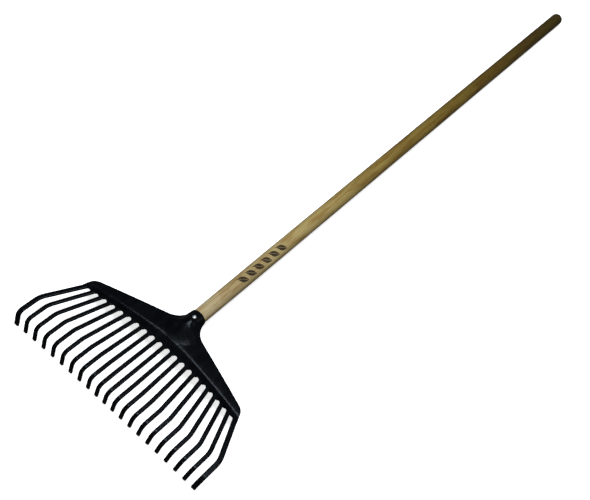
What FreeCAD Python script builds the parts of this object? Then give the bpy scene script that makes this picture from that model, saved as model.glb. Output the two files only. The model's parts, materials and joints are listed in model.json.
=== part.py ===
import FreeCAD, Part
import math
import os

# Leaf rake: an ash handle driven into a moulded plastic head and held by one screw.
# It is modelled in the tool's own frame: origin at the middle of the socket's mouth, +Y along the
# handle to the grip end, +Z out of the top of the head, tines hooking down to -Z. At the end it is
# laid down, so that the tips of the tines and the underside of the grip end rest on z = 0.

Vector = FreeCAD.Vector
Rotation = FreeCAD.Rotation
Placement = FreeCAD.Placement
xAxis = Vector(1, 0, 0)
yAxis = Vector(0, 1, 0)
zAxis = Vector(0, 0, 1)

# ---- handle (mm)
shaft_diameter = 28.0
shaft_length = 1357.0        # from the socket's mouth to the grip end
neck_reduction = 1.2         # the shaft is this much thinner where it meets the socket
neck_length = 140.0          # and has its full diameter from here on
grip_end_round = 10.0
tenon_depth = 44.0           # how far the cone is driven into the socket
tenon_end_diameter = 17.0
tenon_play = 0.0             # a driven fit: the cone and its bore touch
tenon_end_gap = 1.5          # air past the end of the cone

# ---- socket and hood
rim_wall = 1.6               # socket wall at the mouth
rim_chamfer = 0.7
rim_length = 5.0             # the shoulders start this far behind the mouth
mouth_relief = 0.35          # the bore opens by this much at the mouth
mouth_relief_length = 2.5
socket_draft = 0.05          # growth of the socket's radius per mm away from the mouth
hood_length = 68.0           # mouth to the hood's nose, which runs out at the ridge
hood_half_width = 38.0
hood_fill = 0.75             # its sides widen by this share of the shoulders' flare,
hood_lead = 0.5              # and by this much more close to the mouth, where they hold the plate
hood_lead_length = 15.0
hood_flank = 0.9             # half-thickness of the hood's thin sides, inside the plate
hood_level = 18.0            # its crest follows the socket this far from the mouth, then falls
hood_overrun = 1.12          # the fall would end this much past the hood's nose
nose_drop = 1.0              # the nose's crest lies this far under the ridge
nose_underside = 2.0         # and its underside this far below the axis
bell_length = 34.0           # over this length the round socket turns into a bell
bell_sharpness = 4.0         # exponent of the bell's section; 1 is round
hood_steps = 11
hood_points = 32

# ---- plate
plate_thickness = 2.9
shoulder_radius = 36.0       # concave flare from the socket into the wing
wing_apex = -18.5            # where the two wings' upper edges would meet, on the axis
wing_sweep = 19.3            # degrees
corner_radius = 19.0
ridge_apex = -65.0           # the ridge at the middle of the plate
ridge_sweep = 0.16           # slope of its two straight flanks
ridge_bow = 20.0             # half-width of the bow that joins them
ridge_height = 2.6           # top of the ridge above the handle's axis
ridge_round = 2.5
ridge_crown = 4.0            # the ridge falls by this much from the middle to the wing ends
root_crown = 2.0             # and the tines' roots by this much
root_proud = 1.0             # the tines' tops stand this far above the plate at the slot tops
wing_slope = 0.05            # the plate falls from the ridge to its upper edge
edge_round = 1.1             # on the plate's free edges; under half its thickness
rib_count = 7                # ribs that fan out under the plate
rib_thickness = 2.2
rib_depth = 7.0              # below the plate's mid surface
rib_setback = 2.0            # the rim rib stands this far in from the plate's edge
rib_fan_apex = -22.0         # the ribs fan out from here, under the hood
rib_root_gap = 3.0           # and stop this far short of the slots
net_margin = 32.0            # the plate's surface is laid out this much wider than the roots
net_columns = 12             # lines of its net on each side of the middle
net_rows_ahead = 11          # lines from the ridge to the handle, ever further apart
net_rows_behind = 8          # and from the ridge to the tines
net_first_row = 1.2
net_growth = 1.36

# ---- tines
tine_count = 21
root_span = 328.8            # between the outermost tines' middles at the slot tops
run_span = 387.5             # the same past the first bend, where they run parallel
run_gather = 22.0            # past the bend they stand a little closer near the middle
tip_span = 380.0
root_line = -79.5            # slot tops, at the middle of the head
root_sag = 15.6              # the outermost slot tops lie this much further back
first_bend = -170.0
first_bend_sag = -3.9
hook_bend = -209.5
tip_line = -211.0
tip_sag = 3.0
root_level = -3.8            # height of the tines' middles at the slot tops,
first_bend_level = -1.7
hook_bend_level = -0.8
tip_level = -29.0            # and the lowest point of the hooks
tine_width = 7.4
outer_tine_width = 8.9
tine_thickness = 4.4
first_bend_radius = 45.0
hook_bend_radius = 10.0
root_reach = 4.8             # how far a tine's rounded inner end lies on the plate
slot_side_step = 0.2         # plate fingers are this much wider than the tines, each side

# ---- screw
screw_place = -15.0          # along the axis, on top of the socket
screw_head_diameter = 7.6
screw_head_height = 2.4
screw_rim_height = 1.0
screw_shank_diameter = 3.8
screw_length = 16.0
screw_point_length = 4.0
screw_point_diameter = 0.4
screw_seat_depth = 0.6
screw_seat_play = 0.4
screw_hole_play = 0.25
recess_width = 1.1
recess_span = 4.4
recess_depth = 1.4

# ---- lengths of cutting bodies that run right through
through = 40.0
overshoot = 1.0

# ---- worked out from the above
shaft_radius = shaft_diameter / 2
neck_radius = shaft_radius - neck_reduction / 2
socket_radius = neck_radius + rim_wall
tenon_end_radius = tenon_end_diameter / 2
half_count = (tine_count - 1) // 2
root_half = root_span / 2
run_half = run_span / 2
tip_half = tip_span / 2


def blend(t):
    """Smooth step from 0 to 1."""
    t = min(max(t, 0.0), 1.0)
    return t * t * (3 - 2 * t)


# ---------------------------------------------------------------- tines' centre lines
def root_point(share):
    """Middle of a tine at the slot tops; share runs from -1 to 1 across the head."""
    level = root_level - root_crown * share ** 2
    return Vector(root_half * share, root_line - root_sag * share ** 2, level)


def gathered(half_span, share):
    """Sideways place of a tine past its first bend, drawn in towards the middle."""
    return half_span * share - run_gather * share * (1 - abs(share)) ** 2


def bend_point(share):
    along = first_bend - first_bend_sag * share ** 2
    return Vector(gathered(run_half, share), along, first_bend_level)


def tine_heading(share):
    return (bend_point(share) - root_point(share)).normalize()


def width_of(index):
    return outer_tine_width if abs(index) == half_count else tine_width


def rounded_path(corners, radii):
    """Straight runs joined by tangent arcs, one radius for each inner corner."""
    edges = []
    start = corners[0]
    for corner, after, radius in zip(corners[1:], corners[2:], radii):
        before = (corner - start).normalize()
        leaving = (after - corner).normalize()
        turn = before.getAngle(leaving)
        setback = radius * math.tan(turn / 2)
        arc_start = corner - before * setback
        arc_end = corner + leaving * setback
        inward = (leaving - before).normalize()
        middle = corner + inward * radius * (1 / math.cos(turn / 2) - 1)
        edges.append(Part.LineSegment(start, arc_start).toShape())
        edges.append(Part.Arc(arc_start, middle, arc_end).toShape())
        start = arc_end
    edges.append(Part.LineSegment(start, corners[-1]).toShape())
    return Part.Wire(edges)


def flat_oval(centre, heading, width, thickness):
    """Section of a tine: flat top and bottom, half-round sides, square to its heading."""
    side = heading.cross(zAxis).normalize()
    up = side.cross(heading).normalize()
    radius = thickness / 2
    flat = side * (width / 2 - radius)
    rise = up * radius
    right = Part.Arc(centre + flat + rise, centre + flat + side * radius, centre + flat - rise)
    left = Part.Arc(centre - flat - rise, centre - flat - side * radius, centre - flat + rise)
    top = Part.LineSegment(centre - flat + rise, centre + flat + rise)
    bottom = Part.LineSegment(centre + flat - rise, centre - flat - rise)
    return Part.Wire([edge.toShape() for edge in (right, bottom, left, top)])


def round_nose(centre, side, width, thickness):
    """Rounds the end of a tine: a rod across it with a ball at each end."""
    radius = thickness / 2
    reach = width / 2 - radius
    start = centre - side * reach
    rod = Part.makeCylinder(radius, 2 * reach, start, side)
    balls = [Part.makeSphere(radius, start), Part.makeSphere(radius, centre + side * reach)]
    return rod.multiFuse(balls)


def make_tine(index):
    share = index / half_count
    width = width_of(index)
    heading = tine_heading(share)
    inner_end = root_point(share) - heading * root_reach
    hook = Vector(gathered(run_half, share), hook_bend, hook_bend_level)
    tip_end = tip_level + tine_thickness / 2
    tip = Vector(gathered(tip_half, share), tip_line - tip_sag * share ** 2, tip_end)
    path = rounded_path([inner_end, bend_point(share), hook, tip], [first_bend_radius, hook_bend_radius])
    section = flat_oval(inner_end, heading, width, tine_thickness)
    bar = path.makePipeShell([section], True, False)
    side = heading.cross(zAxis).normalize()
    ends = [round_nose(inner_end, side, width, tine_thickness)]
    ends.append(round_nose(tip, xAxis, width, tine_thickness))
    return bar.multiFuse(ends)


# ---------------------------------------------------------------- plate
def ridge_place(x):
    return ridge_apex - ridge_sweep * (math.hypot(x, ridge_bow) - ridge_bow)


def plate_top(x, ahead):
    """Height of the plate's top; ahead of the ridge is towards the handle, behind is the band."""
    share = x / root_half
    root = root_point(share)
    crest = ridge_height - ridge_crown * share ** 2
    foot = root.z + tine_thickness / 2 - root_proud
    band_slope = (crest - foot) / (ridge_place(x) - root.y)
    steep = (wing_slope + band_slope) / 2
    even = (wing_slope - band_slope) / 2
    fall = steep * (math.hypot(ahead, ridge_round) - ridge_round) + even * ahead
    return crest - fall


def plate_surface():
    """Top of the plate, laid over a net of lines that follow the ridge."""
    width = root_half + net_margin
    columns = [width * step / net_columns for step in range(-net_columns, net_columns + 1)]
    growth = [net_growth ** step for step in range(net_rows_ahead + 1)]
    ahead = [net_first_row * (size - 1) / (net_growth - 1) for size in growth]
    behind = [-row for row in reversed(ahead[1:net_rows_behind + 1])]
    rows = behind + ahead
    net = [[Vector(x, ridge_place(x) + row, plate_top(x, row)) for row in rows] for x in columns]
    surface = Part.BSplineSurface()
    surface.interpolate(net)
    return surface.toShape()


def wing_lines():
    """Corner points of the right-hand wing, before its corner is rounded."""
    sweep = math.radians(wing_sweep)
    centre_x = socket_radius + shoulder_radius
    edge_there = wing_apex - centre_x * math.tan(sweep)
    centre_y = edge_there + shoulder_radius / math.cos(sweep)
    heading = tine_heading(1.0)
    outside = heading.cross(zAxis)
    outside.z = 0
    outside = outside.normalize() * (outer_tine_width / 2 + slot_side_step)
    if outside.x < 0:
        outside = outside * -1
    root = root_point(1.0)
    foot = Vector(root.x, root.y, 0) + outside
    lean = heading.x / heading.y
    # where the line of the outer tine's side meets the line of the wing's upper edge
    meet_y = (wing_apex - math.tan(sweep) * (foot.x - lean * foot.y)) / (1 + math.tan(sweep) * lean)
    meet = Vector(foot.x + lean * (meet_y - foot.y), meet_y, 0)
    return Vector(centre_x, centre_y, 0), meet, foot


def plate_outline(inset=0.0, root_inset=0.0):
    """Plan of the plate: shoulders, swept wings, round corners and the line of the roots."""
    sweep = math.radians(wing_sweep)
    centre, meet, foot = wing_lines()
    flare = shoulder_radius + inset
    start_angle = math.asin((centre.y + rim_length) / flare)
    leaving = Vector(-math.cos(start_angle), -math.sin(start_angle), 0)
    normal = Vector(-math.sin(sweep), -math.cos(sweep), 0)
    flare_start = centre + leaving * flare
    flare_end = centre + normal * flare
    flare_middle = centre + (normal + leaving).normalize() * flare
    edge_heading = Vector(math.cos(sweep), -math.sin(sweep), 0)
    end_heading = (foot - meet).normalize()
    turn = edge_heading.getAngle(end_heading)
    inner_side = end_heading.cross(zAxis) * inset
    inner_meet = meet + (normal * inset + inner_side) * (1 / (1 + math.cos(turn)))
    radius = corner_radius - inset
    setback = radius * math.tan(turn / 2)
    corner_start = inner_meet - edge_heading * setback
    corner_end = inner_meet + end_heading * setback
    inward = (end_heading - edge_heading).normalize()
    corner_middle = inner_meet + inward * radius * (1 / math.cos(turn / 2) - 1)
    past_slots = end_slot_radius() - root_inset
    root_end = foot + end_heading * past_slots + inner_side
    root_middle = Vector(0, root_line - past_slots, 0)

    def mirrored(point):
        return Vector(-point.x, point.y, point.z)

    right = [
        Part.Arc(flare_start, flare_middle, flare_end),
        Part.LineSegment(flare_end, corner_start),
        Part.Arc(corner_start, corner_middle, corner_end),
        Part.LineSegment(corner_end, root_end),
    ]
    left = [
        Part.LineSegment(mirrored(root_end), mirrored(corner_end)),
        Part.Arc(mirrored(corner_end), mirrored(corner_middle), mirrored(corner_start)),
        Part.LineSegment(mirrored(corner_start), mirrored(flare_end)),
        Part.Arc(mirrored(flare_end), mirrored(flare_middle), mirrored(flare_start)),
    ]
    roots = Part.Arc(root_end, root_middle, mirrored(root_end))
    mouth = Part.LineSegment(mirrored(flare_start), flare_start)
    curves = right + [roots] + left + [mouth]
    return Part.Wire([curve.toShape() for curve in curves])


def slot_width(index):
    """Clear width between tine index and the next one, at their roots."""
    here = root_point(index / half_count)
    after = root_point((index + 1) / half_count)
    heading = tine_heading((index + 0.5) / half_count)
    across = heading.cross(zAxis).normalize()
    return abs((after - here).dot(across)) - width_of(index) / 2 - width_of(index + 1) / 2


def end_slot_radius():
    return slot_width(half_count - 1) / 2


def slot_cutters():
    """One upright rod for each rounded slot top."""
    rods = []
    for index in range(-half_count, half_count):
        share = (index + 0.5) / half_count
        heading = tine_heading(share)
        heading.z = 0
        heading = heading.normalize()
        across = heading.cross(zAxis)
        if across.x < 0:
            across = across * -1
        radius = slot_width(index) / 2 - slot_side_step
        uneven = (width_of(index) - width_of(index + 1)) / 4
        top = root_point(share) + across * uneven
        centre = Vector(top.x, top.y, 0) + heading * radius
        rods.append(Part.makeCylinder(radius, 2 * through, centre - zAxis * through))
    return rods


def prism(wire):
    return Part.Face(wire).translated(zAxis * -through).extrude(zAxis * 2 * through)


def level_edges(face):
    """Top and bottom edges of one of the plate's upright side faces."""
    return [edge for edge in face.Edges if edge.Length > 1.5 * plate_thickness]


def make_plate():
    slab = plate_surface().extrude(Vector(0, 0, -plate_thickness))
    plate = slab.common(prism(plate_outline())).cut(slot_cutters())
    smallest = 0.9 * min(corner_radius, shoulder_radius)
    largest = 1.1 * max(corner_radius, shoulder_radius)
    rounded = []
    for face in plate.Faces:
        kind = face.Surface.TypeId
        bent = kind == "Part::GeomCylinder" and smallest < face.Surface.Radius < largest
        wing_side = kind == "Part::GeomPlane" and abs(face.CenterOfMass.x) > hood_half_width
        if bent or wing_side:
            rounded += level_edges(face)
    return plate.makeFillet(edge_round, rounded)


def make_ribs():
    """A rim rib behind the wings' edges and straight ribs that fan out from under the hood."""
    mid_surface = plate_surface().translated(Vector(0, 0, -plate_thickness / 2))
    layer = mid_surface.extrude(Vector(0, 0, -rib_depth))
    root_inset = end_slot_radius() + rib_root_gap
    rim_plan = prism(plate_outline(rib_setback, root_inset))
    inner_plan = prism(plate_outline(rib_setback + rib_thickness, root_inset))
    plans = [rim_plan.cut(inner_plan)]
    for index in range(rib_count):
        share = 2 * (index + 0.5) / rib_count - 1
        foot = root_point(share)
        start = Vector(0, rib_fan_apex, -through)
        reach = Vector(foot.x, foot.y - rib_fan_apex, 0)
        corner = Vector(-rib_thickness / 2, 0, 0)
        bar = Part.makeBox(rib_thickness, reach.Length + through, 2 * through, corner)
        bar.Placement = Placement(start, Rotation(yAxis, reach))
        plans.append(bar.common(rim_plan))
    return layer.common(plans[0].multiFuse(plans[1:]))


# ---------------------------------------------------------------- hood
def hood_section(y):
    """Outline of the hood at y: round at the mouth, widening to a bell with thin flanks."""
    centre = wing_lines()[0]
    depth = min(max(centre.y - y, 0), shoulder_radius)
    flare = centre.x - math.sqrt(shoulder_radius ** 2 - depth ** 2)
    lead = hood_lead * (1 - blend((-y - rim_length) / hood_lead_length))
    half_width = socket_radius + hood_fill * max(flare - socket_radius, 0)
    half_width = min(half_width + lead * blend(-y / rim_length), hood_half_width)
    growth = socket_radius + socket_draft * -y
    fade = 1 - blend((-y - hood_level) / (hood_length * hood_overrun - hood_level))
    nose_top = ridge_height - nose_drop
    top = nose_top + (growth - nose_top) * fade
    bottom = nose_underside + (growth - nose_underside) * fade
    sharpness = 1 + (bell_sharpness - 1) * blend(-y / bell_length)
    points = []
    for step in range(hood_points):
        angle = 2 * math.pi * step / hood_points
        swing = abs(math.sin(angle))
        reach = top if angle < math.pi else bottom
        height = (reach - hood_flank) * swing ** sharpness + hood_flank * swing
        height = height if angle < math.pi else -height
        points.append(Vector(half_width * math.cos(angle), y, height))
    curve = Part.BSplineCurve()
    knots = [step / hood_points for step in range(hood_points + 1)]
    curve.interpolate(Points=points, Parameters=knots, PeriodicFlag=True)
    return Part.Wire([curve.toShape()])


def make_hood():
    places = [-hood_length * step / hood_steps for step in range(hood_steps + 1)]
    return Part.makeLoft([hood_section(y) for y in places], True)


# ---------------------------------------------------------------- the three pieces
def hood_top(y):
    """Height of the hood's crest where the socket is still round."""
    return socket_radius + socket_draft * -y


def turned(profile, axis_point=Vector(0, 0, 0), axis=yAxis):
    """Solid of revolution of a closed profile."""
    return Part.Face(Part.makePolygon(profile + profile[:1])).revolve(axis_point, axis, 360)


def taper_radius(y):
    """Radius of the tenon's cone at y; the bore has the same slope."""
    return neck_radius + (neck_radius - tenon_end_radius) * y / tenon_depth


def make_bore():
    end = -tenon_depth - tenon_end_gap
    relief = mouth_relief_length
    profile = [
        Vector(0, overshoot, 0),
        Vector(neck_radius + mouth_relief, overshoot, 0),
        Vector(neck_radius + mouth_relief, 0, 0),
        Vector(taper_radius(-relief), -relief, 0),
        Vector(taper_radius(end), end, 0),
        Vector(0, end, 0),
    ]
    return turned(profile)


def make_rim_cutter():
    """Takes the corner off the outside of the socket's mouth."""
    inner = socket_radius - rim_chamfer
    outer = socket_radius + overshoot
    corners = [Vector(inner, 0, 0), Vector(inner, overshoot, 0), Vector(outer, overshoot, 0)]
    corners.append(Vector(outer, inner - outer, 0))
    return turned(corners)


def make_rake_head():
    hood = make_hood()
    tines = [make_tine(index) for index in range(-half_count, half_count + 1)]
    body = make_plate().multiFuse([hood, make_ribs()] + tines)
    seat = hood_top(screw_place) - screw_seat_depth
    pocket_radius = (screw_head_diameter + screw_seat_play) / 2
    pocket = Part.makeCylinder(pocket_radius, through, Vector(0, screw_place, seat))
    hole_radius = screw_shank_diameter / 2 + screw_hole_play
    hole = Part.makeCylinder(hole_radius, through, Vector(0, screw_place, 0))
    return body.cut([make_bore(), make_rim_cutter(), pocket, hole])


def screw_shank():
    """Shank and point; the pilot hole in the tenon is cut with the same solid."""
    seat = hood_top(screw_place) - screw_seat_depth
    radius = screw_shank_diameter / 2
    straight = screw_length - screw_point_length
    shank = Part.makeCylinder(radius, straight, Vector(0, screw_place, seat), zAxis * -1)
    point_start = Vector(0, screw_place, seat - straight)
    point_radius = screw_point_diameter / 2
    point = Part.makeCone(radius, point_radius, screw_point_length, point_start, zAxis * -1)
    return shank.fuse(point)


def make_handle():
    neck = neck_radius
    end = shaft_length
    corner = grip_end_round
    lower = [
        Vector(0, -tenon_depth, 0),
        Vector(tenon_end_radius - tenon_play, -tenon_depth, 0),
        Vector(neck - tenon_play, 0, 0),
        Vector(shaft_radius, neck_length, 0),
        Vector(shaft_radius, end - corner, 0),
    ]
    diagonal = corner * math.sqrt(0.5)
    bend = Vector(shaft_radius - corner + diagonal, end - corner + diagonal, 0)
    crown = Vector(shaft_radius - corner, end, 0)
    edges = [Part.LineSegment(a, b).toShape() for a, b in zip(lower, lower[1:])]
    edges.append(Part.Arc(lower[-1], bend, crown).toShape())
    edges.append(Part.LineSegment(crown, Vector(0, end, 0)).toShape())
    edges.append(Part.LineSegment(Vector(0, end, 0), lower[0]).toShape())
    blank = Part.Face(Part.Wire(edges)).revolve(Vector(0, 0, 0), yAxis, 360)
    return blank.cut(screw_shank())


def make_screw():
    seat = hood_top(screw_place) - screw_seat_depth
    radius = screw_head_diameter / 2
    rise = screw_head_height - screw_rim_height
    dome_radius = (radius ** 2 + rise ** 2) / (2 * rise)
    half_turn = math.asin(radius / dome_radius) / 2
    fall = dome_radius * (1 - math.cos(half_turn))
    foot = Vector(0, 0, 0)
    side = Vector(radius, 0, 0)
    rim = Vector(radius, 0, screw_rim_height)
    shoulder = Vector(dome_radius * math.sin(half_turn), 0, screw_head_height - fall)
    crown = Vector(0, 0, screw_head_height)
    profile = [
        Part.LineSegment(foot, side),
        Part.LineSegment(side, rim),
        Part.Arc(rim, shoulder, crown),
        Part.LineSegment(crown, foot),
    ]
    wire = Part.Wire([curve.toShape() for curve in profile])
    head = Part.Face(wire).revolve(Vector(0, 0, 0), zAxis, 360)
    floor = screw_head_height - recess_depth
    long_half = recess_span / 2
    short_half = recess_width / 2
    slot = Part.makeBox(recess_span, recess_width, through, Vector(-long_half, -short_half, floor))
    cross = Part.makeBox(recess_width, recess_span, through, Vector(-short_half, -long_half, floor))
    head = head.cut([slot, cross])
    head.translate(Vector(0, screw_place, seat))
    return head.fuse(screw_shank())


# ---------------------------------------------------------------- laid on the floor
def resting_place(shapes):
    """Turns the tool about X until tips and grip end lie level, then sets its box on the origin."""
    nose = tine_thickness / 2
    tip = Vector(0, tip_line, tip_level + nose)
    grip = Vector(0, shaft_length - grip_end_round, grip_end_round - shaft_radius)
    span = grip - tip
    slope = math.atan2(span.z, span.y) - math.asin((grip_end_round - nose) / span.Length)
    turn = Placement(Vector(0, 0, 0), Rotation(xAxis, -math.degrees(slope)))
    turned_shapes = [shape.transformed(turn.toMatrix()) for shape in shapes]
    box = Part.makeCompound(turned_shapes).optimalBoundingBox()
    floor = turn.multVec(tip).z - nose
    return Placement(Vector(-box.Center.x, -box.Center.y, -floor), Rotation()).multiply(turn)


nodes = {
    "handle": make_handle(),
    "rake_head": make_rake_head(),
    "handle_screw": make_screw(),
}
tine_sections = nodes["rake_head"].slice(yAxis, (first_bend + hook_bend) / 2)
print("tines", len(tine_sections), "of", tine_count)
place = resting_place(list(nodes.values()))
os.makedirs("parts", exist_ok=True)
for name, shape in nodes.items():
    laid = shape.transformed(place.toMatrix())
    laid.exportStep(f"parts/{name}.step")
    print(name, laid.isValid(), len(laid.Solids), round(laid.Volume), laid.optimalBoundingBox())
mouth = place.multVec(Vector(0, 0, 0))
heading = place.Rotation.multVec(yAxis)
print("mouth", mouth, "handle heading", heading)
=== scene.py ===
import json
import math

import bmesh
import bpy
from mathutils import Euler, Matrix, Vector


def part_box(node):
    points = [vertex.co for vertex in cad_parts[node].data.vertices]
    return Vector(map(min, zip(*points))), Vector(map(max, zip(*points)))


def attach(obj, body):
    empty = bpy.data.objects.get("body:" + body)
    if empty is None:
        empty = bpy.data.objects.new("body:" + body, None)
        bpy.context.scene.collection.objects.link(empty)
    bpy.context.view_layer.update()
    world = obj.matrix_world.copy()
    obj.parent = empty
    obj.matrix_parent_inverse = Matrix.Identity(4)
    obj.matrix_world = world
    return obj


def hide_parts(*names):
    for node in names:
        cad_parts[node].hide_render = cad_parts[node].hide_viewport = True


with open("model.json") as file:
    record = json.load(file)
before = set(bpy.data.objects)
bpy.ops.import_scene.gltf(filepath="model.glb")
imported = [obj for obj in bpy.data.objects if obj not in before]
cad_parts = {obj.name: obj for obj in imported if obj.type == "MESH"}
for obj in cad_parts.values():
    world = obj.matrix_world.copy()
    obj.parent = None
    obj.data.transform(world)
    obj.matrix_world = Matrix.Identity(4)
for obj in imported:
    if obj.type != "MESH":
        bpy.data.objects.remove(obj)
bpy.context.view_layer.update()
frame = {"nodes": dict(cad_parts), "record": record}
print("frame loaded")

# The rake lies on the floor, so its own axes are tilted a little. The shaft mount gives its axis,
# and everything below is made in the tool's axes: origin at the socket's mouth, +Y up the handle.
shaftMount = [mount for mount in frame["record"]["mounts"] if mount["name"] == "shaft"][0]
tool = {
    "neckLength": 0.140,      # from the socket's mouth to where the shaft has its full diameter
    "shaftRadius": shaftMount["dims"]["r_mm"] / 1000,
    "mountLength": shaftMount["dims"]["length_mm"] / 1000,
}
tool["along"] = Vector(shaftMount["axis"]).normalized()
mountMiddle = tool["neckLength"] + tool["mountLength"] / 2
tool["mouth"] = Vector(shaftMount["pos_m"]) - tool["along"] * mountMiddle
tool["tilt"] = math.atan2(tool["along"].z, tool["along"].y)
toolToFloor = Matrix.Translation(tool["mouth"]) @ Matrix.Rotation(tool["tilt"], 4, "X")


# ---- shader maths written as expressions

class Wire:
    # a node's output that can be added, multiplied and compared
    def __init__(self, tree, socket):
        self.tree = tree
        self.socket = socket

    def maths(self, operation, *items):
        node = self.tree.nodes.new("ShaderNodeMath")
        node.operation = operation
        for item, entry in zip(items, node.inputs):
            plug(self.tree, item, entry)
        return Wire(self.tree, node.outputs[0])

    def __add__(self, other):
        return self.maths("ADD", self, other)

    def __sub__(self, other):
        return self.maths("SUBTRACT", self, other)

    def __mul__(self, other):
        return self.maths("MULTIPLY", self, other)

    def __truediv__(self, other):
        return self.maths("DIVIDE", self, other)

    def __rsub__(self, other):
        return self.maths("SUBTRACT", other, self)

    def __pow__(self, other):
        return self.maths("POWER", self, other)

    def __lt__(self, other):
        return self.maths("LESS_THAN", self, other)

    def __gt__(self, other):
        return self.maths("GREATER_THAN", self, other)

    def __abs__(self):
        return self.maths("ABSOLUTE", self)

    __radd__ = __add__
    __rmul__ = __mul__


def plug(tree, item, entry):
    if isinstance(item, Wire):
        tree.links.new(item.socket, entry)
    else:
        entry.default_value = item


class Finish:
    # a material with one Principled shader
    def __init__(self, name, **constants):
        self.material = bpy.data.materials.new(name)
        self.material.use_nodes = True
        self.tree = self.material.node_tree
        self.shader = self.tree.nodes["Principled BSDF"]
        for socket, value in constants.items():
            self.shader.inputs[socket.replace("_", " ")].default_value = value

    def node(self, kind, settings=None, inputs=None, output=0):
        node = self.tree.nodes.new(kind)
        for key, value in (settings or {}).items():
            if key == "stops":
                ramp = node.color_ramp
                while len(ramp.elements) < len(value):
                    ramp.elements.new(0.5)
                for element, (place, colour) in zip(ramp.elements, value):
                    element.position = place
                    element.color = colour
            else:
                setattr(node, key, value)
        for key, value in (inputs or {}).items():
            plug(self.tree, value, node.inputs[key])
        return Wire(self.tree, node.outputs[output])

    def toolPoint(self, stretch=(1, 1, 1)):
        # Object coordinates turned into the tool's own axes; stretch scales them
        place = self.node("ShaderNodeTexCoord", output="Object")
        settings = {"vector_type": "TEXTURE"}
        inputs = {"Vector": place, "Location": tool["mouth"], "Rotation": Euler((tool["tilt"], 0, 0))}
        turned = self.node("ShaderNodeMapping", settings, inputs)
        return self.node("ShaderNodeMapping", {}, {"Vector": turned, "Scale": stretch})

    def split(self, vector):
        node = self.tree.nodes.new("ShaderNodeSeparateXYZ")
        plug(self.tree, vector, node.inputs[0])
        return [Wire(self.tree, output) for output in node.outputs]

    def noise(self, vector, scale, detail=3.0, roughness=0.5):
        inputs = {"Vector": vector, "Scale": scale, "Detail": detail, "Roughness": roughness}
        return self.node("ShaderNodeTexNoise", {}, inputs)

    def band(self, value, low, high, outLow=0.0, outHigh=1.0):
        inputs = {"Value": value, "From Min": low, "From Max": high, "To Min": outLow, "To Max": outHigh}
        return self.node("ShaderNodeMapRange", {"interpolation_type": "SMOOTHSTEP"}, inputs)

    def mix(self, factor, first, second, blend="MIX"):
        settings = {"data_type": "RGBA", "blend_type": blend}
        inputs = {0: factor, 6: first, 7: second}
        return self.node("ShaderNodeMix", settings, inputs, output=2)

    def bump(self, height, depth, before=None):
        inputs = {"Height": height, "Distance": depth, "Strength": 1.0}
        if before is not None:
            inputs["Normal"] = before
        return self.node("ShaderNodeBump", {}, inputs)

    def drive(self, **links):
        for socket, wire in links.items():
            plug(self.tree, wire, self.shader.inputs[socket.replace("_", " ")])
        return self.material


# ---- black moulded plastic of the head
plastic = {
    "colour": (0.0007, 0.0009, 0.0014, 1),
    "dustColour": (0.0024, 0.0031, 0.0044, 1),
    "wornColour": (0.012, 0.014, 0.018, 1),
    "specular": 0.14,
    "sheenRoughness": 0.20,
    "grainScale": 1900,       # fine spark-eroded mould texture
    "grainDepth": 0.00002,
    "flowScale": 60,          # cloudy flow marks of the melt
    "flowShare": 0.45,
    "scuffScale": 420,
    "scuffDepth": 0.00004,
    "wornShare": 0.5,
    "wornFrom": -0.020,       # the hooks are worn below this height
    "wornTo": -0.030,
}


def makePlastic():
    finish = Finish("headPlastic", IOR=1.49, Specular_IOR_Level=plastic["specular"])
    point = finish.toolPoint()
    grain = finish.noise(point, plastic["grainScale"], 2.0, 0.6)
    flow = finish.noise(finish.toolPoint((1, 0.35, 1)), plastic["flowScale"], 4.0, 0.55)
    scuffs = finish.noise(finish.toolPoint((1, 0.06, 1)), plastic["scuffScale"], 3.0, 0.6)
    x, y, z = finish.split(point)
    # the hooks rub on the ground, so their last stretch is duller and paler
    low = finish.band(z, plastic["wornFrom"], plastic["wornTo"])
    worn = low * finish.band(scuffs, 0.45, 0.62)
    cloudy = finish.band(flow, 0.35, 0.7)
    colour = finish.mix(cloudy * plastic["flowShare"], plastic["colour"], plastic["dustColour"])
    colour = finish.mix(worn * plastic["wornShare"], colour, plastic["wornColour"])
    rough = plastic["sheenRoughness"] + cloudy * 0.05 + grain * 0.04 + worn * 0.18
    normal = finish.bump(grain, plastic["grainDepth"])
    deepScuffs = scuffs * finish.band(scuffs, 0.5, 0.65)
    normal = finish.bump(deepScuffs, plastic["scuffDepth"], normal)
    return finish.drive(Base_Color=colour, Roughness=rough, Normal=normal)


# ---- ash wood of the handle, with the printed leaves
wood = {
    # colour along the handle, pale by the head and darker towards the grip: painted shade for the light
    # falling off along the handle
    "stops": [
        (0.02, (0.400, 0.325, 0.185, 1)),
        (0.20, (0.345, 0.268, 0.108, 1)),
        (0.38, (0.250, 0.182, 0.050, 1)),
        (0.62, (0.158, 0.109, 0.020, 1)),
        (0.97, (0.060, 0.042, 0.006, 1)),
    ],
    "lateDarken": (0.66, 0.58, 0.42, 1),
    "streak": (0.74, 0.59, 0.40, 1),
    "fibre": (0.74, 0.70, 0.62, 1),
    "patch": (0.80, 0.74, 0.64, 1),
    "pore": (0.40, 0.32, 0.22, 1),
    "ringOffset": (0.055, 0.021),        # the middle of the tree lies this far off the handle's axis
    "ringPitch": 0.0031,
    "drift": {"scale": 3.2, "size": 0.022},       # slow wandering of the rings along the stick
    "wobble": {"scale": 55, "size": 0.0012},
    "poreScale": 1500,
    "fibreScale": 700,
    "streakScale": 150,
    "patchScale": 34,
    "lateShare": 0.50,
    "streakShare": 0.75,
    "fibreShare": 0.40,
    "patchShare": 0.80,
    "poreShare": 0.55,
    "roughness": 0.44,
    "fibreDepth": 0.00008,
    "poreDepth": 0.00010,
    "patchDepth": 0.0006,
    "lacquer": 0.14,
    "lacquerLostInPores": 0.12,
    "length": tool["neckLength"] + tool["mountLength"],
}
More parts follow.
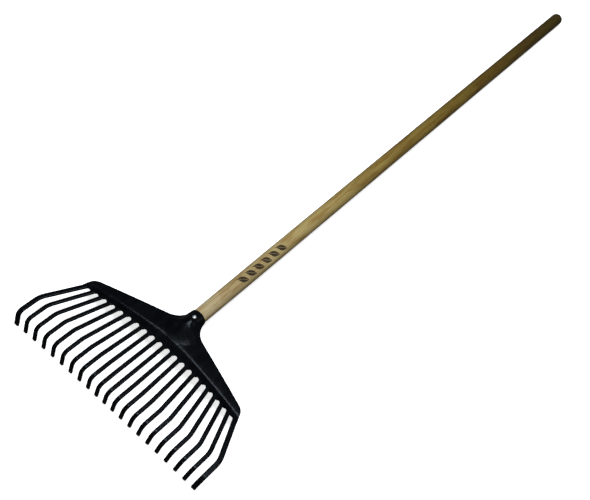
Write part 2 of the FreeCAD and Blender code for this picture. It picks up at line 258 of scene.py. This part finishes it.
mark = {
    "start": 0.098,           # above the socket's mouth
    "leaves": 6,
    "pitch": 0.0214,
    "halfLength": 0.0112,
    "halfWidth": 0.0054,
    "slant": math.radians(38),
    "turn": math.radians(16), # it faces up and a little to the right
    "ink": (0.014, 0.008, 0.005, 1),
    "cover": 0.94,            # how much of the wood the ink hides where it is rubbed,
    "coverWhole": 0.05,       # and how much more where it is whole
}


def printedLeaves(finish, x, y, z):
    # a row of slanted leaves with pale midribs and veins, wrapped round the handle
    angle = finish.node("ShaderNodeMath", {"operation": "ARCTAN2"}, {0: x, 1: z})
    across = (angle - mark["turn"]) * tool["shaftRadius"]
    row = (y - mark["start"]) / mark["pitch"]
    cell = finish.node("ShaderNodeMath", {"operation": "FRACT"}, {0: row})
    inRow = (row > 0.0) * (row < float(mark["leaves"]))
    along = (cell - 0.5) * mark["pitch"]
    cosine = math.cos(mark["slant"])
    sine = math.sin(mark["slant"])
    reach = (along * cosine + across * sine) / mark["halfLength"]
    offRib = abs(across * cosine - along * sine) / mark["halfWidth"]
    # widest a little below the middle, pointed at the tip, with a stalk at the foot
    outline = (1 - reach * reach) * (1 - reach * 0.28)
    blade = (offRib < outline) * (abs(reach) < 1.0)
    midrib = (offRib < 0.055) * (reach < 0.75)
    slope = reach * 3.2 - offRib * 0.8
    ribs = finish.node("ShaderNodeMath", {"operation": "PINGPONG"}, {0: slope, 1: 0.5})
    veins = (ribs < 0.022) * (offRib < outline * 0.8)
    stalk = (offRib < 0.16) * (reach < -0.9) * (reach > -1.2)
    leaf = blade * (1 - midrib) * (1 - veins)
    leaf = finish.node("ShaderNodeMath", {"operation": "MAXIMUM"}, {0: leaf, 1: stalk})
    whole = finish.band(finish.noise(finish.toolPoint((1, 0.2, 1)), 900, 2.0), 0.32, 0.42)
    return leaf * inRow * (mark["cover"] + whole * mark["coverWhole"])


def makeWood():
    finish = Finish("handleAsh", IOR=1.5, Specular_IOR_Level=0.3, Coat_IOR=1.5, Coat_Roughness=0.35)
    point = finish.toolPoint()
    x, y, z = finish.split(point)
    # growth rings about the middle of the tree, wandering slowly along the stick
    drift = finish.noise(finish.toolPoint((1, 0.9, 1)), wood["drift"]["scale"], 2.0) - 0.5
    wobble = finish.noise(finish.toolPoint((1, 0.12, 1)), wood["wobble"]["scale"], 2.0) - 0.5
    offX = x - wood["ringOffset"][0] + drift * wood["drift"]["size"]
    offZ = z - wood["ringOffset"][1] + wobble * wood["wobble"]["size"]
    ringRadius = (offX * offX + offZ * offZ) ** 0.5
    ring = finish.node("ShaderNodeMath", {"operation": "FRACT"}, {0: ringRadius / wood["ringPitch"]})
    lateWood = finish.band(ring, 0.35, 0.98) * (1 - finish.band(ring, 0.965, 1.0))
    # open pores of the spring wood: short dark dashes along the grain
    pores = finish.noise(finish.toolPoint((1, 0.03, 1)), wood["poreScale"], 2.0, 0.65)
    pores = finish.band(pores, 0.56, 0.66) * (1 - finish.band(ring, 0.25, 0.6))
    fibres = finish.noise(finish.toolPoint((1, 0.02, 1)), wood["fibreScale"], 3.0, 0.6)
    streaks = finish.noise(finish.toolPoint((1, 0.09, 1)), wood["streakScale"], 3.0, 0.6)
    patches = finish.noise(finish.toolPoint((1, 0.30, 1)), wood["patchScale"], 3.0, 0.55)
    # painted shade: the ramp darkens the wood towards the grip end, where less light falls
    colour = finish.node("ShaderNodeValToRGB", {"stops": wood["stops"]}, {0: y / wood["length"]})
    late = lateWood * wood["lateShare"]
    streaky = finish.band(streaks, 0.48, 0.62) * wood["streakShare"]
    fibrous = finish.band(fibres, 0.3, 0.75) * wood["fibreShare"]
    patchy = finish.band(patches, 0.44, 0.60) * wood["patchShare"]
    colour = finish.mix(late, colour, wood["lateDarken"], "MULTIPLY")
    colour = finish.mix(streaky, colour, wood["streak"], "MULTIPLY")
    colour = finish.mix(fibrous, colour, wood["fibre"], "MULTIPLY")
    colour = finish.mix(patchy, colour, wood["patch"], "MULTIPLY")
    colour = finish.mix(pores * wood["poreShare"], colour, wood["pore"], "MULTIPLY")
    ink = printedLeaves(finish, x, y, z)
    colour = finish.mix(ink, colour, mark["ink"])
    rough = wood["roughness"] + fibres * 0.12 - lateWood * 0.05 + pores * 0.15 - ink * 0.08
    normal = finish.bump(fibres, wood["fibreDepth"])
    normal = finish.bump(1 - pores, wood["poreDepth"], normal)
    normal = finish.bump(patches, wood["patchDepth"], normal)
    lacquer = (wood["lacquer"] - pores * wood["lacquerLostInPores"]) * (1 - ink)
    return finish.drive(Base_Color=colour, Roughness=rough, Normal=normal, Coat_Weight=lacquer)


# ---- zinc plated steel of the screw
steel = {
    "colour": (0.88, 0.88, 0.87, 1),
    "dull": (0.62, 0.62, 0.61, 1),
    "roughness": 0.30,
    "spangleScale": 1400,
    "spangleDepth": 0.00003,
    "stainScale": 320,
    "stainShare": 0.6,
}


def makeSteel():
    finish = Finish("screwZinc", Metallic=1.0)
    point = finish.toolPoint()
    spangle = finish.noise(point, steel["spangleScale"], 3.0, 0.6)
    stains = finish.noise(point, steel["stainScale"], 2.0)
    stained = finish.band(stains, 0.4, 0.7) * steel["stainShare"]
    colour = finish.mix(stained, steel["colour"], steel["dull"])
    rough = steel["roughness"] + spangle * 0.16
    normal = finish.bump(spangle, steel["spangleDepth"])
    return finish.drive(Base_Color=colour, Roughness=rough, Normal=normal)


headPlastic = makePlastic()
handleAsh = makeWood()
screwZinc = makeSteel()
print("finishes made")


# ---- meshes

def finishedPiece(name, mesh, material, smoothAngle=35):
    # closes the bmesh into an object at the origin, in floor axes
    bmesh.ops.remove_doubles(mesh, verts=mesh.verts, dist=1e-6)
    bmesh.ops.recalc_face_normals(mesh, faces=mesh.faces)
    bmesh.ops.transform(mesh, matrix=toolToFloor, verts=mesh.verts)
    for face in mesh.faces:
        face.smooth = True
    for edge in mesh.edges:
        edge.smooth = not edge.is_manifold or edge.calc_face_angle(0) < math.radians(smoothAngle)
    data = bpy.data.meshes.new(name)
    mesh.to_mesh(data)
    mesh.free()
    data.materials.append(material)
    piece = bpy.data.objects.new(name, data)
    bpy.context.collection.objects.link(piece)
    return piece


def spunAbout(mesh, profile, axis, steps):
    # turns a profile of points into a surface of revolution about an axis through the origin
    verts = [mesh.verts.new(point) for point in profile]
    edges = [mesh.edges.new(pair) for pair in zip(verts, verts[1:])]
    bmesh.ops.spin(mesh, geom=verts + edges, cent=(0, 0, 0), axis=axis, angle=2 * math.pi,
                   steps=steps, use_merge=True)


# the handle: tenon in the socket, thin neck, long shaft, rounded grip end
handle = {
    "tenonDepth": 0.044,
    "tenonRadius": 0.0085,
    "neckRadius": 0.0134,
    "shaftRadius": tool["shaftRadius"],
    "neckLength": tool["neckLength"],
    "gripRound": 0.010,
    "beyondMount": 0.010,     # the grip end lies this far past the mount
    "sides": 72,
    "roundSteps": 8,
    "ringSpacing": 0.012,
    "handShaving": 0.00016,   # how far the turned surface strays from true
}


def makeHandle():
    mesh = bmesh.new()
    length = tool["neckLength"] + tool["mountLength"] + handle["beyondMount"]
    roundCentre = length - handle["gripRound"]
    profile = [
        (0, -handle["tenonDepth"], 0),
        (handle["tenonRadius"], -handle["tenonDepth"], 0),
        (handle["neckRadius"], 0, 0),
    ]
    steps = round(roundCentre / handle["ringSpacing"])
    for step in range(1, steps + 1):
        place = roundCentre * step / steps
        taper = min(place / handle["neckLength"], 1)
        radius = handle["neckRadius"] + (handle["shaftRadius"] - handle["neckRadius"]) * taper
        profile.append((radius, place, 0))
    for step in range(1, handle["roundSteps"] + 1):
        angle = math.pi / 2 * step / handle["roundSteps"]
        radius = handle["shaftRadius"] - handle["gripRound"] * (1 - math.cos(angle))
        profile.append((radius, roundCentre + handle["gripRound"] * math.sin(angle), 0))
    profile.append((0, length, 0))
    spunAbout(mesh, profile, (0, 1, 0), handle["sides"])
    for vert in mesh.verts:
        if vert.co.y > 0.002:
            turn = math.atan2(vert.co.x, vert.co.z)
            stray = math.sin(vert.co.y * 21 + 1.3) * math.cos(2 * turn + vert.co.y * 3)
            stray += 0.6 * math.sin(vert.co.y * 47) * math.cos(3 * turn)
            shrink = 1 - handle["handShaving"] / handle["shaftRadius"] * (0.8 + 0.5 * stray)
            vert.co.x *= shrink
            vert.co.z *= shrink
    return finishedPiece("handleWood", mesh, handleAsh, 40)


# the screw: pan head with a tapered cross recess, on its flat seat on top of the socket
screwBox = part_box("handle_screw")
screw = {
    "place": -0.015,
    "headRadius": (screwBox[1][0] - screwBox[0][0]) / 2,
    "headHeight": 0.0024,
    "seat": 0.01515,
    "rimHeight": 0.0008,
    "shankRadius": 0.0019,
    "length": 0.016,
    "pointLength": 0.004,
    "recessSpan": 0.0046,
    "recessWidth": 0.0011,
    "recessDepth": 0.0015,
    "threadPitch": 0.0016,
    "threadDepth": 0.00035,
    "sides": 48,
    "crownSteps": 10,
    "rimBreak": 0.00015,
    "recessTurn": 20,
    "recessTaper": (0.55, 0.8),   # the recess narrows to these shares at its foot
}


def makeScrew():
    mesh = bmesh.new()
    radius = screw["headRadius"]
    top = screw["headHeight"]
    profile = [(0, 0, top)]
    crown = top - screw["rimHeight"]
    for step in range(1, screw["crownSteps"] + 1):
        angle = math.pi / 2 * step / screw["crownSteps"]
        height = screw["rimHeight"] + crown * math.cos(angle)
        profile.append((radius * math.sin(angle) ** 0.9, 0, height))
    profile.append((radius, 0, screw["rimBreak"]))
    profile.append((radius - screw["rimBreak"], 0, 0))
    profile.append((screw["shankRadius"], 0, 0))
    straight = screw["length"] - screw["pointLength"]
    core = screw["shankRadius"] - screw["threadDepth"]
    flank = screw["threadPitch"] * 0.35
    for crest in range(1, int(straight / screw["threadPitch"])):
        place = -crest * screw["threadPitch"]
        profile.append((core, 0, place + flank))
        profile.append((screw["shankRadius"], 0, place))
        profile.append((core, 0, place - flank))
    profile.append((core, 0, -straight))
    profile.append((0, 0, -screw["length"]))
    spunAbout(mesh, profile, (0, 0, 1), screw["sides"])
    bmesh.ops.translate(mesh, vec=(0, screw["place"], screw["seat"]), verts=mesh.verts)
    piece = finishedPiece("screwPanHead", mesh, screwZinc, 40)
    cutter = bmesh.new()
    for turned in (0, 90):
        made = bmesh.ops.create_cube(cutter, size=1)["verts"]
        for vert in made:
            taper = screw["recessTaper"] if vert.co.z < 0 else (1.0, 1.0)
            vert.co.x *= screw["recessSpan"] * taper[0]
            vert.co.y *= screw["recessWidth"] * taper[1]
            vert.co.z *= 2 * screw["recessDepth"]
        spin = Matrix.Rotation(math.radians(turned + screw["recessTurn"]), 3, "Z")
        bmesh.ops.rotate(cutter, verts=made, cent=(0, 0, 0), matrix=spin)
    headTop = (0, screw["place"], screw["seat"] + top)
    bmesh.ops.translate(cutter, vec=headTop, verts=cutter.verts)
    recessCutter = finishedPiece("recessCutter", cutter, screwZinc)
    cut = piece.modifiers.new("recess", "BOOLEAN")
    cut.object = recessCutter
    cut.operation = "DIFFERENCE"
    cut.solver = "EXACT"
    cut.use_self = True          # the two bars of the cutter cross each other
    bpy.context.view_layer.update()
    evaluated = piece.evaluated_get(bpy.context.evaluated_depsgraph_get())
    done = bpy.data.meshes.new_from_object(evaluated)
    piece.modifiers.clear()
    piece.data = done
    bpy.data.objects.remove(recessCutter)
    return piece


handleWood = makeHandle()
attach(handleWood, "root")
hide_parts("handle")
print("handle made")

screwPanHead = makeScrew()
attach(screwPanHead, "root")
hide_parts("handle_screw")
print("screw made")

head = frame["nodes"]["rake_head"]
for slot in head.material_slots:
    slot.material = headPlastic
print("head finished")


# ---- floor, light and camera
stage = {
    "floorSize": 14.0,
    "floorColour": (0.93, 0.93, 0.93, 1),
    "floorGlow": 0.72,
    "sky": 0.08,
}


white = (1, 1, 1)
lights = {
    "topPanel": {
        "place": (-0.1, -0.30, 2.2), "aim": (0, -0.30, 0), "width": 0.9, "height": 0.9,
        "power": 42, "colour": white, "gloss": False,
    },
    "frontPanel": {
        "place": (0.9, -2.6, 1.9), "aim": (0, -0.5, 0), "width": 1.6, "height": 1.2,
        "power": 12, "colour": white, "gloss": True,
    },
    "leftPanel": {
        "place": (-2.2, -1.2, 1.5), "aim": (0, -0.3, 0), "width": 1.4, "height": 1.0,
        "power": 5, "colour": white, "gloss": True,
    },
    "rightPanel": {
        "place": (2.0, 0.3, 1.6), "aim": (0, 0.0, 0), "width": 1.4, "height": 1.4,
        "power": 5, "colour": white, "gloss": True,
    },
    "ridgeStrip": {
        "place": (-0.05, -0.27, 1.5), "aim": (0.05, -0.66, 0), "width": 0.80, "height": 0.20,
        "power": 9, "colour": (0.70, 0.85, 1.0), "gloss": True,
    },
}


def makeFloor():
    mesh = bmesh.new()
    bmesh.ops.create_grid(mesh, x_segments=1, y_segments=1, size=stage["floorSize"] / 2)
    data = bpy.data.meshes.new("studioFloor")
    mesh.to_mesh(data)
    mesh.free()
    floor = bpy.data.objects.new("studioFloor", data)
    bpy.context.collection.objects.link(floor)
    finish = Finish("studioPaper", Roughness=0.9, Base_Color=stage["floorColour"])
    finish.shader.inputs["Emission Color"].default_value = (1, 1, 1, 1)
    finish.shader.inputs["Emission Strength"].default_value = stage["floorGlow"]
    data.materials.append(finish.material)
    floor.visible_diffuse = False    # the paper takes shadows but throws no light up at the rake
    floor.visible_glossy = False


def makeLight(name, place, aim, width, height, power, colour, gloss):
    light = bpy.data.lights.new(name, "AREA")
    light.shape = "RECTANGLE"
    light.size = width
    light.size_y = height
    light.energy = power
    light.color = colour
    lamp = bpy.data.objects.new(name, light)
    bpy.context.collection.objects.link(lamp)
    lamp.location = place
    lamp.rotation_euler = (Vector(aim) - Vector(place)).to_track_quat("-Z", "Y").to_euler()
    lamp.visible_glossy = gloss      # the top panel lights the wood without a sheen


makeFloor()
for name, settings in lights.items():
    makeLight(name, **settings)

world = bpy.data.worlds.new("studio")
world.use_nodes = True
world.node_tree.nodes["Background"].inputs["Color"].default_value = (1, 1, 1, 1)
world.node_tree.nodes["Background"].inputs["Strength"].default_value = stage["sky"]
bpy.context.scene.world = world
bpy.context.scene.view_settings.view_transform = "Standard"

# the camera stands in front of the head and above it, in the tool's axes
camera = {
    "place": (0.4000, -0.8627, 1.3422),
    "aim": (0.0165, 0.2475, -0.008),
    "roll": 25.164,
    "lens": 60.71,
    "sensor": 36,
}
view = bpy.data.cameras.new("camera")
view.lens = camera["lens"]
view.sensor_width = camera["sensor"]
viewer = bpy.data.objects.new("camera", view)
bpy.context.collection.objects.link(viewer)
direction = Vector(camera["aim"]) - Vector(camera["place"])
turn = direction.to_track_quat("-Z", "Y").to_matrix().to_4x4()
roll = Matrix.Rotation(math.radians(camera["roll"]), 4, "Z")
viewer.matrix_world = toolToFloor @ Matrix.Translation(camera["place"]) @ turn @ roll
bpy.context.scene.camera = viewer
print("stage set")
